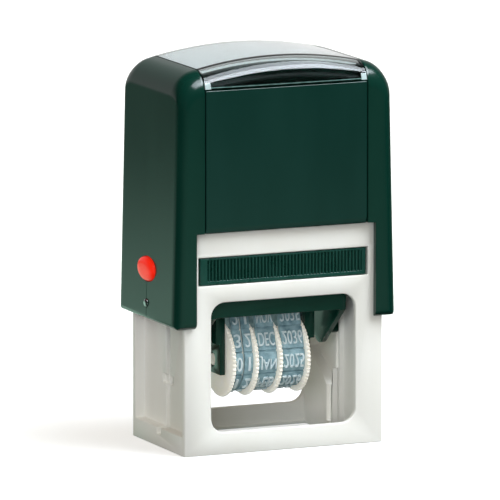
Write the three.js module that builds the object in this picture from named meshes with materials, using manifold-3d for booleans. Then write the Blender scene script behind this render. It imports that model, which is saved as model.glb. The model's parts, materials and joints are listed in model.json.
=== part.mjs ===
// Self-inking date stamp: a sprung cover slides down over a frame and turns a date unit from pad to paper.
// Millimetres. X runs to the right, Y into the depth, Z up. The origin is under the middle of the frame.
import * as THREE from 'three';
import { mergeVertices } from 'three/addons/utils/BufferGeometryUtils.js';
import Module from 'manifold-3d';

const wasm = await Module();
wasm.setup();

// Clearances and overruns
const runGap = 0.3;
const seatGap = 0.15;
const overrun = 1;

// Frame
const frameWidth = 58;
const frameDepth = 35.7;
const plateWall = 1.8;
const sideInset = 2.8;
const sideWall = 2.2;
const rimHeight = 5.2;
const rimNotchFloor = 3.3;
const lipReach = 0.6;
const lipHeight = 0.9;
const headWidth = 54;
const headHeight = 6.2;
const windowWidth = 42.4;
const windowSill = 6;
const windowRail = 4.7;
const windowCorner = 4;
const padOpeningWidth = 49.8;
const padOpeningHeight = 7.7;
const headAbovePad = 7.1;
const padBayWall = 1.2;
const roofThickness = 2;
const springPostDiameter = 8;
const springPostHeight = 8;

// Guides inside the frame's side walls
const guideReach = 2.8;
const guideStepReach = 1.4;
const guideFront = 4.1;
const guideStepFront = 2.7;
const scoopFront = 3.2;
const scoopFloorRise = 3.2;

// Cover
const legBelowAxle = 4.8;
const coverHeight = 72.2;
const coverSideGap = 1.85;
const coverFaceGap = 0.35;
const coverDraftWidth = 1.75;
const coverWall = 1.8;
const coverCeiling = 4;
const crownRise = 2.6;
const crownHalfWidth = 23.6;
const crownCorner = 7.3;
const crownFront = 6.8;
const uprightCorner = 3;
const legFoot = 2;
const cutoutWidth = 52.4;
const cutoutHeight = 25.8;
const socketDiameter = 17;
const socketWall = 1.5;
const socketDepth = 5;
const socketFloor = 0.5;

// Front and rear panels
const panelWidth = 47.7;
const panelTopInset = 7.8;
const panelThickness = 1;
const panelSeam = 0.25;
const panelBevel = 0.5;

// Index window and its card
const indexSeam = 0.4;
const indexWall = 1.2;
const cardThickness = 0.3;
const cardMargin = 1.2;

// Lock buttons
const buttonAboveAxle = 9.3;
const buttonLength = 11;
const buttonWidth = 6.5;
const buttonProud = 1.2;
const buttonRound = 0.5;
const buttonFlange = 1;
const buttonFlangeRim = 0.9;
const prongSpacing = 4.6;
const prongSize = 1.8;
const prongTipGap = 0.5;
const catchDrop = 30.7;
const catchDepth = 0.9;

// Axle
const axleHeight = 39.6;
const axleDiameter = 2.2;
const axleProud = 0.6;

// Die holder, on the axle
const holderSideGap = 1.3;
const holderDepth = 29;
const holderBelow = 3.1;
const holderAbove = 2.2;
const cheekThickness = 1.7;
const cheekTipDrop = 11.6;
const cheekTipRadius = 2.8;
const followerDrop = 10;
const followerDiameter = 4;
const followerEndGap = 0.4;
const cushionThickness = 1;
const plateDepthInset = 0.3;
const plateBase = 1;
const plateRelief = 0.7;
const dieToPaperGap = 0.1;
const dieToPadGap = 1.6;
const plateBorder = 0.6;
const plateBorderInset = 0.9;
const slotInPlate = 8;

// Date unit, on the axle
const wheelDrop = 16.8;
const flangeRadius = 10.4;
const flangeThickness = 1.1;
const toothDepth = 0.4;
const shaftDiameter = 3.2;
const bandRadius = 7.9;
const bandThickness = 0.9;
const bandSideGap = 0.25;
const dayBandWidth = 2.4;
const monthBandWidth = 5.4;
const yearBandWidth = 6.5;
const noseHalfFlat = 1.3;
const noseRise = 2.6;
const noseCorner = 0.6;
const noseBarBottom = 1.5;
const armThickness = 2.8;
const armLowerThickness = 1.5;
const armDepth = 11.2;
const armStepDrop = 12;
const armEndBelowShaft = 3.6;

// Ink pad
const trayWidth = 48.6;
const trayHeight = 7.35;
const trayWall = 1.2;
const trayFrontWall = 3;
const trayFrontRecess = 0.25;
const trayRearGap = 0.25;
const ribPitch = 0.98;
const ribGroove = 0.5;
const ribDepth = 0.5;
const ribFieldWidth = 45;
const ribRim = 1.1;
const ribLip = 1.2;
const feltRise = 0.15;

// Main spring
const springDiameter = 12;
const springWire = 1.2;

// Counts
const flangeTeeth = 56;
const springCurls = 6;
const stepsPerCurl = 8;
const wireSides = 5;
const roundSides = 24;
const cornerSteps = 5;
const ovalSteps = 16;
const bandSteps = 9;
const crownSteps = 10;
const scoopSteps = 36;

// Places that follow from the sizes
const dieRise = holderAbove + cushionThickness + plateBase + plateRelief;
const coverTravel = axleHeight - dieRise - dieToPaperGap;
const padOpeningSill = axleHeight + dieRise + dieToPadGap;
const frameHeight = padOpeningSill + padOpeningHeight + headAbovePad;
const windowTop = padOpeningSill - windowRail;
const legBottom = axleHeight - legBelowAxle;
const coverTop = legBottom + coverHeight;
const panelTop = coverTop - panelTopInset;
const indexSill = panelTop + indexSeam;
const buttonHeight = axleHeight + buttonAboveAxle;
const catchHeight = buttonHeight - catchDrop;
const halfFrame = frameWidth / 2;
const halfDepth = frameDepth / 2;
const innerDepth = halfDepth - plateWall;
const wallOuter = halfFrame - sideInset;
const wallInner = wallOuter - sideWall;
const guideFace = wallInner - guideReach;
const holderWidth = 2 * (guideFace - holderSideGap);
const plateDepth = holderDepth - 2 * plateDepthInset;
const bayInner = wallOuter - padBayWall;
const roofBottom = padOpeningSill + padOpeningHeight + seatGap;
const roofTop = roofBottom + roofThickness;
const slotWidth = axleDiameter + 2 * runGap;
const halfCover = halfFrame + coverSideGap + coverWall;
const halfCoverDepth = halfDepth + coverFaceGap + coverWall;
const panelBottom = legBottom + cutoutHeight;
const crownRadius = (crownHalfWidth ** 2 + crownRise ** 2) / (2 * crownRise);
const followerRadius = followerDiameter / 2;
const armInner = stackWidth() / 2 + runGap;
const armOuter = armInner + armThickness;
const springSeat = coverTop - coverCeiling - socketFloor;

const finishes = {
  frame: { color: 0xf1f0ea, roughness: 0.45, metalness: 0 },
  cover: { color: 0x16211d, roughness: 0.4, metalness: 0 },
  panel: { color: 0x10201b, roughness: 0.25, metalness: 0 },
  clear: { color: 0xdfe8e6, roughness: 0.05, metalness: 0, transparent: true, opacity: 0.35 },
  card: { color: 0xf4f4f1, roughness: 0.8, metalness: 0 },
  button: { color: 0xe8382e, roughness: 0.3, metalness: 0 },
  steel: { color: 0xc4c8ca, roughness: 0.25, metalness: 1 },
  tray: { color: 0x14221e, roughness: 0.45, metalness: 0 },
  felt: { color: 0x2b2f57, roughness: 0.95, metalness: 0 },
  rubber: { color: 0x8a4a3d, roughness: 0.7, metalness: 0 },
  cushion: { color: 0xb9b3a5, roughness: 0.95, metalness: 0 },
  wheel: { color: 0xf3f1e8, roughness: 0.4, metalness: 0 },
  band: { color: 0x6f8ea1, roughness: 0.6, metalness: 0 },
};

// Turns a three.js geometry into a solid that can be joined and cut.
function solid(geometry) {
  const bare = geometry.clone();
  bare.deleteAttribute('normal');
  bare.deleteAttribute('uv');
  const merged = mergeVertices(bare);
  return new wasm.Manifold(new wasm.Mesh({
    numProp: 3,
    vertProperties: new Float32Array(merged.attributes.position.array),
    triVerts: new Uint32Array(merged.index.array),
  }));
}

function geometryOf(body) {
  const mesh = body.getMesh();
  const geometry = new THREE.BufferGeometry();
  const places = new Float32Array(mesh.vertProperties);
  geometry.setAttribute('position', new THREE.BufferAttribute(places, mesh.numProp));
  geometry.setIndex(new THREE.BufferAttribute(new Uint32Array(mesh.triVerts), 1));
  geometry.computeVertexNormals();
  return geometry;
}

function join(parts) {
  return parts.reduce((sum, part) => sum.add(part));
}

function cut(body, tools) {
  return tools.reduce((rest, tool) => rest.subtract(tool), body);
}

// A block between two corners.
function block(low, high) {
  const size = high.map((value, axis) => value - low[axis]);
  const geometry = new THREE.BoxGeometry(size[0], size[1], size[2]);
  geometry.translate(...low.map((value, axis) => value + size[axis] / 2));
  return solid(geometry);
}

// Two distances from the middle on one side, the lower place first.
function span(side, from, to) {
  return [side * from, side * to].sort((a, b) => a - b);
}

// A block centred across X and Y.
function centredBlock(width, depth, bottom, top) {
  return block([-width / 2, -depth / 2, bottom], [width / 2, depth / 2, top]);
}

// A round bar along X between two places, centred on a line at y and z.
function rodX(radius, from, to, y, z) {
  const geometry = new THREE.CylinderGeometry(radius, radius, to - from, roundSides);
  geometry.rotateZ(Math.PI / 2);
  geometry.translate((from + to) / 2, y, z);
  return solid(geometry);
}

function rodZ(radius, bottom, top) {
  const geometry = new THREE.CylinderGeometry(radius, radius, top - bottom, roundSides);
  geometry.rotateX(Math.PI / 2);
  geometry.translate(0, 0, (bottom + top) / 2);
  return solid(geometry);
}

function extrusion(shape, length, steps) {
  return new THREE.ExtrudeGeometry(shape, { depth: length, bevelEnabled: false, curveSegments: steps });
}

// A shape drawn in Y and Z, drawn out along X.
function prismX(shape, from, to, steps = cornerSteps) {
  const geometry = extrusion(shape, to - from, steps);
  geometry.applyMatrix4(new THREE.Matrix4().makeBasis(
    new THREE.Vector3(0, 1, 0),
    new THREE.Vector3(0, 0, 1),
    new THREE.Vector3(1, 0, 0),
  ));
  geometry.translate(from, 0, 0);
  return solid(geometry);
}

// A shape drawn in X and Z, drawn out along Y.
function prismY(shape, from, to, steps = cornerSteps) {
  const geometry = extrusion(shape, to - from, steps);
  geometry.applyMatrix4(new THREE.Matrix4().makeBasis(
    new THREE.Vector3(1, 0, 0),
    new THREE.Vector3(0, 0, 1),
    new THREE.Vector3(0, -1, 0),
  ));
  geometry.translate(0, to, 0);
  return solid(geometry);
}

function polygon(points) {
  return new THREE.Shape(points.map(([across, up]) => new THREE.Vector2(across, up)));
}

function roundedRectangle(left, right, bottom, top, radius) {
  const shape = new THREE.Shape();
  shape.moveTo(left + radius, bottom);
  shape.lineTo(right - radius, bottom);
  shape.absarc(right - radius, bottom + radius, radius, -Math.PI / 2, 0, false);
  shape.absarc(right - radius, top - radius, radius, 0, Math.PI / 2, false);
  shape.absarc(left + radius, top - radius, radius, Math.PI / 2, Math.PI, false);
  shape.absarc(left + radius, bottom + radius, radius, Math.PI, 1.5 * Math.PI, false);
  return shape;
}

// A skin over rings of equally many points, closed by a flat cap at each end.
function loft(rings) {
  const count = rings[0].length;
  const points = rings.flat();
  const faces = [];
  for (let ring = 0; ring < rings.length - 1; ring += 1) {
    for (let step = 0; step < count; step += 1) {
      const a = ring * count + step;
      const b = ring * count + (step + 1) % count;
      faces.push([a, b, b + count], [a, b + count, a + count]);
    }
  }
  for (const [ring, turned] of [[0, true], [rings.length - 1, false]]) {
    const middle = points.length;
    points.push(rings[ring].reduce((sum, p) => sum.add(p), new THREE.Vector3()).divideScalar(count));
    for (let step = 0; step < count; step += 1) {
      const a = ring * count + step;
      const b = ring * count + (step + 1) % count;
      faces.push(turned ? [b, a, middle] : [a, b, middle]);
    }
  }
  let volume = 0;
  const normal = new THREE.Vector3();
  for (const [a, b, c] of faces) {
    volume += points[a].dot(normal.crossVectors(points[b], points[c]));
  }
  const geometry = new THREE.BufferGeometry();
  geometry.setFromPoints(points);
  geometry.setIndex(faces.flatMap(([a, b, c]) => (volume > 0 ? [a, b, c] : [a, c, b])));
  return geometry;
}

function piece(name, body, finish) {
  const geometry = body.isBufferGeometry ? body : geometryOf(body);
  const mesh = new THREE.Mesh(geometry, new THREE.MeshStandardMaterial(finish));
  mesh.name = name;
  return mesh;
}

// Half the cover's width at a height, less a wall.
function coverHalfWidthAt(height, inset) {
  const rise = coverTop - legBottom;
  return halfCover - inset - coverDraftWidth * (height - legBottom) / rise;
}

// The cover's outline across X and Z at one depth: legs, rounded shoulders and a crowned top.
function coverOutline(bottom, top, inset, corner, depth) {
  const shoulder = top - crownRise - corner;
  const centreX = coverHalfWidthAt(shoulder, inset) - corner;
  const reach = crownRadius - corner;
  const lean = Math.asin(centreX / reach);
  const crownCentre = top - crownRadius;
  const centreZ = crownCentre + reach * Math.cos(lean);
  const right = [];
  for (let step = 0; step < crownSteps / 2; step += 1) {
    const turn = lean * step / (crownSteps / 2);
    right.push([crownRadius * Math.sin(turn), crownCentre + crownRadius * Math.cos(turn)]);
  }
  for (let step = 0; step <= cornerSteps; step += 1) {
    const turn = lean + (Math.PI / 2 - lean) * step / cornerSteps;
    right.push([centreX + corner * Math.sin(turn), centreZ + corner * Math.cos(turn)]);
  }
  right.push([coverHalfWidthAt(bottom, inset), bottom]);
  const left = right.slice(1).reverse().map(([x, z]) => [-x, z]);
  return [...right, ...left].map(([x, z]) => new THREE.Vector3(x, depth, z));
}

// The cover's full body, drawn in by an inset at its sides and by another at its top.
function coverBody(bottom, inset, topInset) {
  const roundFront = crownFront - inset;
  const roundUpright = uprightCorner - inset;
  const reach = halfCoverDepth - inset;
  const rings = [];
  for (const side of [-1, 1]) {
    for (let step = 0; step <= cornerSteps; step += 1) {
      const turn = Math.PI / 2 * (side < 0 ? step : cornerSteps - step) / cornerSteps;
      const back = roundFront * (1 - Math.cos(turn));
      const drop = roundFront * (1 - Math.sin(turn));
      const sideBack = Math.max(0, roundUpright - back);
      const draw = roundUpright - Math.sqrt(Math.max(0, roundUpright ** 2 - sideBack ** 2));
      const top = coverTop - topInset - drop;
      const corner = crownCorner - inset - draw;
      rings.push(coverOutline(bottom, top, inset + draw, corner, side * (reach - back)));
    }
  }
  return solid(loft(rings));
}

function buildFrame() {
  const plate = (from, to) => block([-halfFrame, from, 0], [halfFrame, to, frameHeight]);
  const wall = (side) => {
    const x = span(side, wallInner, wallOuter);
    return block([x[0], -innerDepth - seatGap, 0], [x[1], innerDepth + seatGap, frameHeight]);
  };
  const body = join([
    plate(-halfDepth, -innerDepth),
    plate(innerDepth, halfDepth),
    wall(-1),
    wall(1),
    ...[-1, 1].flatMap((side) => [frameRim(side), frameGuide(side), frameLip(side)]),
    centredBlock(2 * bayInner + padBayWall, 2 * innerDepth + plateWall, roofBottom, roofTop),
    rodZ(springPostDiameter / 2, roofTop - roofThickness / 2, roofTop + springPostHeight),
  ]);
  const windowShape = roundedRectangle(
    -windowWidth / 2,
    windowWidth / 2,
    windowSill,
    windowTop,
    windowCorner,
  );
  const through = halfDepth + overrun;
  return cut(body, [
    prismY(windowShape, -through, -innerDepth + lipReach / 2),
    prismY(windowShape, innerDepth - lipReach / 2, through),
    padOpening(),
    padBay(),
    ...[-1, 1].map((side) => headShoulders(side)),
    axleSlot(),
    ...lockCatches(),
  ]);
}

function frameRim(side) {
  const x = span(side, wallOuter - sideWall / 2, halfFrame);
  return block([x[0], -halfDepth, 0], [x[1], halfDepth, rimHeight]);
}

function frameLip(side) {
  const y = span(side, innerDepth - lipReach, innerDepth + plateWall / 2);
  const reach = wallInner + sideWall / 2;
  return block([-reach, y[0], 0], [reach, y[1], lipHeight]);
}

// The stepped guide on one side wall, with the scoop that the follower pin sweeps.
function frameGuide(side) {
  const slab = (reach, front) => {
    const x = span(side, wallInner - reach, wallInner + sideWall / 2);
    return block([x[0], -front, 0], [x[1], innerDepth + plateWall / 2, padOpeningSill]);
  };
  const scoop = span(side, guideFace - overrun, wallInner);
  return cut(join([slab(guideStepReach, guideFront), slab(guideReach, guideStepFront)]), [
    prismX(polygon(scoopOutline()), scoop[0], scoop[1]),
  ]);
}

// The follower's path while the cover goes down and the holder turns half a turn, widened by the pin.
function scoopOutline() {
  const clearance = followerRadius + runGap + seatGap;
  const points = [];
  for (let step = 0; step <= scoopSteps; step += 1) {
    const turn = Math.PI * step / scoopSteps;
    const y = followerDrop * Math.sin(turn);
    const z = axleHeight - coverTravel * step / scoopSteps - followerDrop * Math.cos(turn);
    const alongY = followerDrop * Math.cos(turn);
    const alongZ = followerDrop * Math.sin(turn) - coverTravel / Math.PI;
    const along = new THREE.Vector2(alongY, alongZ).normalize();
    points.push([y - along.y * clearance, z + along.x * clearance]);
  }
  const pinEnd = axleHeight - coverTravel + followerDrop;
  points.push([0, pinEnd - clearance]);
  points.push([-clearance * Math.SQRT1_2, pinEnd - clearance * Math.SQRT1_2]);
  points.push([-clearance, pinEnd]);
  points.push([-clearance, pinEnd + scoopFloorRise]);
  points.push([-scoopFront, pinEnd + scoopFloorRise]);
  points.push([-scoopFront, axleHeight - followerDrop + clearance]);
  points.push([0, axleHeight - followerDrop + clearance]);
  return points.reverse();
}

function padOpening() {
  const half = padOpeningWidth / 2;
  return block(
    [-half, -halfDepth - overrun, padOpeningSill],
    [half, -innerDepth + seatGap, padOpeningSill + padOpeningHeight],
  );
}

function padBay() {
  return centredBlock(2 * bayInner, 2 * innerDepth, padOpeningSill, roofBottom);
}

// The frame is narrower above its shoulders, where it runs up inside the cover.
function headShoulders(side) {
  const x = span(side, headWidth / 2, halfFrame + overrun);
  const deep = halfDepth + overrun;
  return block([x[0], -deep, frameHeight - headHeight], [x[1], deep, frameHeight + overrun]);
}

function axleSlot() {
  const reach = halfFrame + overrun;
  return block([-reach, -slotWidth / 2, rimNotchFloor], [reach, slotWidth / 2, padOpeningSill]);
}

function lockCatches() {
  const half = prongSize / 2 + runGap;
  const catches = [];
  for (const side of [-1, 1]) {
    for (const [from, z] of [[wallOuter - catchDepth, catchHeight], [bayInner - seatGap, buttonHeight]]) {
      const x = span(side, from, wallOuter + overrun);
      for (const y of [-prongSpacing / 2, prongSpacing / 2]) {
        catches.push(block([x[0], y - half, z - half], [x[1], y + half, z + half]));
      }
    }
  }
  return catches;
}

function buildTray() {
  const front = -halfDepth + trayFrontRecess;
  const back = innerDepth - trayRearGap;
  const bottom = padOpeningSill + seatGap;
  const top = bottom + trayHeight;
  const half = trayWidth / 2;
  const body = block([-half, front, bottom], [half, back, top]);
  const hollow = block(
    [-half + trayWall, front + trayFrontWall, bottom - overrun],
    [half - trayWall, back - trayWall, top - trayWall],
  );
  const grooves = [];
  const count = Math.floor(ribFieldWidth / ribPitch);
  for (let rib = 0; rib < count; rib += 1) {
    const x = (rib - (count - 1) / 2) * ribPitch;
    grooves.push(block(
      [x - ribGroove / 2, front - overrun, bottom + ribLip],
      [x + ribGroove / 2, front + ribDepth, top - ribRim],
    ));
  }
  return cut(body, [hollow, ...grooves]);
}

function buildFelt() {
  const half = trayWidth / 2 - trayWall - seatGap;
  const front = -halfDepth + trayFrontRecess + trayFrontWall + seatGap;
  const back = innerDepth - trayRearGap - trayWall - seatGap;
  const bottom = padOpeningSill + seatGap + feltRise;
  const top = padOpeningSill + seatGap + trayHeight - trayWall - seatGap;
  return block([-half, front, bottom], [half, back, top]);
}

function buildCover() {
  const outer = coverBody(legBottom, 0, 0);
  const cavity = coverBody(legBottom - overrun, coverWall, coverCeiling);
  const wide = halfCoverDepth + overrun;
  const bore = axleDiameter / 2 + runGap;
  const shell = cut(outer, [
    cavity,
    block([-cutoutWidth / 2, -wide, legBottom - overrun], [cutoutWidth / 2, wide, panelBottom]),
    indexRecess(),
    ...[-1, 1].map((side) => panelRebate(side)),
    rodX(bore, -halfCover - overrun, halfCover + overrun, 0, axleHeight),
    prismX(ovalShape(runGap), -halfCover - overrun, halfCover + overrun, ovalSteps),
  ]);
  return join([shell.intersect(legFeet()), springSocket()]);
}

// The cover's outline from the side, with the feet of its legs rounded.
function legFeet() {
  const wide = halfCoverDepth + overrun;
  const shape = new THREE.Shape();
  shape.moveTo(-halfCoverDepth + legFoot, legBottom);
  shape.lineTo(halfCoverDepth - legFoot, legBottom);
  shape.absarc(halfCoverDepth - legFoot, legBottom + legFoot, legFoot, -Math.PI / 2, 0, false);
  shape.lineTo(wide, legBottom + legFoot);
  shape.lineTo(wide, coverTop + overrun);
  shape.lineTo(-wide, coverTop + overrun);
  shape.lineTo(-wide, legBottom + legFoot);
  shape.absarc(-halfCoverDepth + legFoot, legBottom + legFoot, legFoot, Math.PI, 1.5 * Math.PI, false);
  return prismX(shape, -halfCover - overrun, halfCover + overrun);
}

// The shallow recess over the top of the cover that takes the card and the clear window.
function indexRecess() {
  const faceDepth = indexWall + seatGap;
  const topDepth = faceDepth + cardThickness + seatGap;
  const layer = coverBody(legBottom, -overrun, -overrun).subtract(coverBody(legBottom, faceDepth, topDepth));
  const wide = halfCoverDepth + 2 * overrun;
  return layer.intersect(block(
    [-panelWidth / 2, -wide, indexSill - seatGap],
    [panelWidth / 2, wide, coverTop + 2 * overrun],
  ));
}

function panelRebate(side) {
  const half = panelWidth / 2;
  const y = span(side, halfCoverDepth - panelThickness - seatGap, halfCoverDepth + overrun);
  return block([-half, y[0], panelBottom - overrun], [half, y[1], panelTop + panelSeam]);
}

function springSocket() {
  const outer = socketDiameter / 2;
  const ceiling = coverTop - coverCeiling;
  const ring = rodZ(outer, ceiling - socketDepth, ceiling + overrun);
  return ring.subtract(rodZ(outer - socketWall, ceiling - socketDepth - overrun, springSeat));
}

function buildPanel(side) {
  const half = panelWidth / 2 - panelSeam;
  const back = halfCoverDepth - panelThickness;
  const outline = polygon([
    [back, panelBottom],
    [halfCoverDepth - panelBevel, panelBottom],
    [halfCoverDepth, panelBottom + panelBevel],
    [halfCoverDepth, panelTop],
    [back, panelTop],
  ].map(([y, z]) => [side * y, z]));
  return prismX(outline, -half, half);
}

function buildIndexWindow() {
  const half = panelWidth / 2 - panelSeam;
  const layer = coverBody(legBottom, 0, 0).subtract(coverBody(legBottom - overrun, indexWall, indexWall));
  const wide = halfCoverDepth + overrun;
  return layer.intersect(block([-half, -wide, indexSill], [half, wide, coverTop + overrun]));
}

function buildCard() {
  const half = panelWidth / 2 - panelSeam - cardMargin;
  const upper = indexWall + seatGap;
  const lower = upper + cardThickness;
  const layer = coverBody(legBottom, upper, upper).subtract(coverBody(legBottom - overrun, lower, lower));
  const deep = halfCoverDepth - crownFront;
  const low = coverTop - crownRise - coverCeiling;
  return layer.intersect(block([-half, -deep, low], [half, deep, coverTop]));
}

function ovalShape(clearance) {
  const shape = new THREE.Shape();
  const halfLength = buttonLength / 2 + clearance;
  const halfWidth = buttonWidth / 2 + clearance;
  shape.absellipse(0, buttonHeight, halfLength, halfWidth, 0, 2 * Math.PI, false, 0);
  return shape;
}

// One lock button: an oval head in the cover's side, a flange behind the wall and two prongs.
function buildButton(side) {
  const face = coverHalfWidthAt(buttonHeight, 0) + buttonProud;
  const flangeFace = coverHalfWidthAt(buttonHeight + buttonWidth / 2 + buttonFlangeRim, coverWall) - runGap;
  const flangeBack = flangeFace - buttonFlange;
  const tip = wallOuter + prongTipGap;
  const half = prongSize / 2;
  const x = span(side, tip, flangeFace);
  const prongs = [-prongSpacing / 2, prongSpacing / 2].map((y) => block(
    [x[0], y - half, buttonHeight - half],
    [x[1], y + half, buttonHeight + half],
  ));
  return join([
    prismX(ovalShape(0), ...span(side, flangeBack, face - buttonRound), ovalSteps),
    prismX(ovalShape(-buttonRound / 2), ...span(side, face - buttonRound, face), ovalSteps),
    prismX(ovalShape(buttonFlangeRim), ...span(side, flangeBack, flangeFace), ovalSteps),
    ...prongs,
  ]);
}

function buildAxle() {
  const half = coverHalfWidthAt(axleHeight, 0) + axleProud;
  return rodX(axleDiameter / 2, -half, half, 0, 0);
}

// The main spring: one wire, closed to nothing at its ends, which stand square on their seats.
function buildSpring() {
  const radius = springDiameter / 2;
  const wire = springWire / 2;
  const low = roofTop + wire + seatGap;
  const high = springSeat - wire - seatGap;
  const steps = springCurls * stepsPerCurl;
  const centres = [];
  for (let step = 0; step <= steps; step += 1) {
    const turn = 2 * Math.PI * step / stepsPerCurl;
    const z = low + springWire + (high - low - 2 * springWire) * step / steps;
    centres.push(new THREE.Vector3(radius * Math.cos(turn), radius * Math.sin(turn), z));
  }
  const first = centres[0].clone();
  const last = centres[centres.length - 1].clone();
  centres.unshift(new THREE.Vector3(first.x, first.y, low - wire));
  centres.push(new THREE.Vector3(last.x, last.y, high + wire));
  reportSpringGap(centres);
  return loft(wireRings(centres, wire));
}

// Rings of a wire along its centres, each ring turned to stand square to the run.
function wireRings(centres, wire) {
  return centres.map((centre, index) => {
    const before = centres[Math.max(0, index - 1)];
    const after = centres[Math.min(centres.length - 1, index + 1)];
    const along = after.clone().sub(before).normalize();
    const outward = new THREE.Vector3(centre.x, centre.y, 0).normalize();
    outward.sub(along.clone().multiplyScalar(along.dot(outward))).normalize();
    const across = along.clone().cross(outward);
    const ring = [];
    for (let side = 0; side < wireSides; side += 1) {
      const turn = 2 * Math.PI * side / wireSides;
      ring.push(centre.clone()
        .add(outward.clone().multiplyScalar(wire * Math.cos(turn)))
        .add(across.clone().multiplyScalar(wire * Math.sin(turn))));
    }
    return ring;
  });
}

function reportSpringGap(centres) {
  let least = Infinity;
  for (let a = 0; a < centres.length; a += 1) {
    for (let b = a + stepsPerCurl / 2; b < centres.length; b += 1) {
      least = Math.min(least, centres[a].distanceTo(centres[b]) - springWire);
    }
  }
  console.log(`main spring: least gap between curls ${least.toFixed(2)} mm`);
}

// The die holder, with the cheeks that carry the follower pins. Its origin is on the axle.
function buildHolder() {
  const half = holderWidth / 2;
  const deep = holderDepth / 2;
  const opening = armOuter + runGap;
  const openingDepth = armDepth / 2 + runGap;
  const followerEnd = wallInner - followerEndGap;
  const plate = centredBlock(holderWidth, holderDepth, -holderBelow, holderAbove);
  const cheeks = [-1, 1].flatMap((side) => [
    prismX(cheekShape(deep), ...span(side, half - cheekThickness, half)),
    rodX(followerRadius, ...span(side, half - cheekThickness / 2, followerEnd), 0, -followerDrop),
  ]);
  return cut(join([plate, ...cheeks]), [
    centredBlock(2 * opening, 2 * openingDepth, -holderBelow - overrun, holderAbove + overrun),
    rodX(axleDiameter / 2 + runGap, -half - overrun, half + overrun, 0, 0),
  ]);
}

// A cheek from the side: a wedge with a rounded tip.
function cheekShape(deep) {
  const run = cheekTipDrop - holderBelow;
  const lean = Math.atan2(run, deep);
  const tilt = lean + Math.asin(cheekTipRadius / Math.hypot(run, deep));
  const shape = new THREE.Shape();
  shape.moveTo(deep, -holderBelow + overrun);
  shape.lineTo(-deep, -holderBelow + overrun);
  shape.lineTo(-deep, -holderBelow);
  shape.absarc(0, -cheekTipDrop, cheekTipRadius, 1.5 * Math.PI - tilt, 1.5 * Math.PI + tilt, false);
  shape.lineTo(deep, -holderBelow);
  return shape;
}

function buildCushion() {
  const bottom = holderAbove;
  const body = centredBlock(holderWidth, plateDepth, bottom, bottom + cushionThickness);
  return cut(body, [dateSlot(bottom - overrun, bottom + cushionThickness + overrun)]);
}

function dateSlot(bottom, top) {
  return centredBlock(2 * armInner, slotInPlate, bottom, top);
}

// The rubber die: a sheet with a raised border, pierced where the bands come up.
function buildTextPlate() {
  const bottom = holderAbove + cushionThickness;
  const top = bottom + plateBase;
  const face = top + plateRelief;
  const sheet = (inset, from, to) => {
    const shrink = 2 * inset;
    return centredBlock(holderWidth - shrink, plateDepth - shrink, from, to);
  };
  const outer = sheet(plateBorderInset, top - plateBase / 2, face);
  const inner = sheet(plateBorderInset + plateBorder, top, face + overrun);
  return cut(join([sheet(0, bottom, top), outer.subtract(inner)]), [
    dateSlot(bottom - overrun, face + overrun),
  ]);
}

// The bracket that holds the wheel shaft, with the nose bar that the bands run over.
function buildBracket() {
  const topOfArm = holderAbove - seatGap;
  const parts = [];
  const deep = armDepth / 2;
  const foot = -wheelDrop - armEndBelowShaft;
  for (const side of [-1, 1]) {
    const upper = span(side, armInner, armOuter);
    const lower = span(side, armInner, armInner + armLowerThickness);
    parts.push(block([upper[0], -deep, -armStepDrop], [upper[1], deep, topOfArm]));
    parts.push(block([lower[0], -deep, foot], [lower[1], deep, -armStepDrop + overrun]));
  }
  const noseTop = noseRise + noseCorner - runGap;
  const noseHalf = noseHalfFlat + seatGap;
  const noseReach = armInner + overrun;
  const nose = block([-noseReach, -noseHalf, noseBarBottom], [noseReach, noseHalf, noseTop]);
  const reach = armOuter + overrun;
  return cut(join([...parts, nose.subtract(noseEnds(topOfArm))]), [
    rodX(axleDiameter / 2 + runGap, -reach, reach, 0, 0),
    rodX(shaftDiameter / 2 + runGap, -reach, reach, 0, -wheelDrop),
  ]);
}

// Keeps the nose bar below the top of the arms where it runs into them.
function noseEnds(topOfArm) {
  const wide = armInner + 2 * overrun;
  const slab = block([-wide, -armDepth, topOfArm], [wide, armDepth, topOfArm + 2 * overrun]);
  return slab.subtract(block([-armInner, -armDepth, 0], [armInner, armDepth, topOfArm + 3 * overrun]));
}

function buildShaft() {
  const half = armInner + armLowerThickness;
  return rodX(shaftDiameter / 2, -half, half, 0, 0);
}

function bandWidths() {
  return [dayBandWidth, dayBandWidth, monthBandWidth, yearBandWidth];
}

function stackWidth() {
  const units = bandWidths().map((width) => width + bandSideGap + flangeThickness);
  return units.reduce((sum, unit) => sum + unit) + (units.length - 1) * runGap;
}

// Where each wheel and band lies along the shaft. The first flange is on the left, the others on the right.
function dateUnits() {
  const names = ['day_tens', 'day_units', 'month', 'year'];
  let from = -stackWidth() / 2;
  return bandWidths().map((width, index) => {
    const flangeFirst = index === 0;
    const hubFrom = flangeFirst ? from + flangeThickness : from;
    const hubTo = hubFrom + width + bandSideGap;
    const flangeFrom = flangeFirst ? from : hubTo;
    const bandFrom = hubFrom + bandSideGap / 2;
    const to = from + hubTo - hubFrom + flangeThickness;
    const unit = { name: names[index], from, to, flangeFrom, bandFrom, bandTo: bandFrom + width };
    from = to + runGap;
    return unit;
  });
}

function flangeShape() {
  const shape = new THREE.Shape();
  for (let tooth = 0; tooth < flangeTeeth; tooth += 1) {
    for (const [part, radius] of [[0, flangeRadius], [0.5, flangeRadius - toothDepth]]) {
      const turn = 2 * Math.PI * (tooth + part) / flangeTeeth;
      const point = [radius * Math.cos(turn), radius * Math.sin(turn)];
      if (tooth + part === 0) shape.moveTo(...point);
      else shape.lineTo(...point);
    }
  }
  return shape;
}

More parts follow.
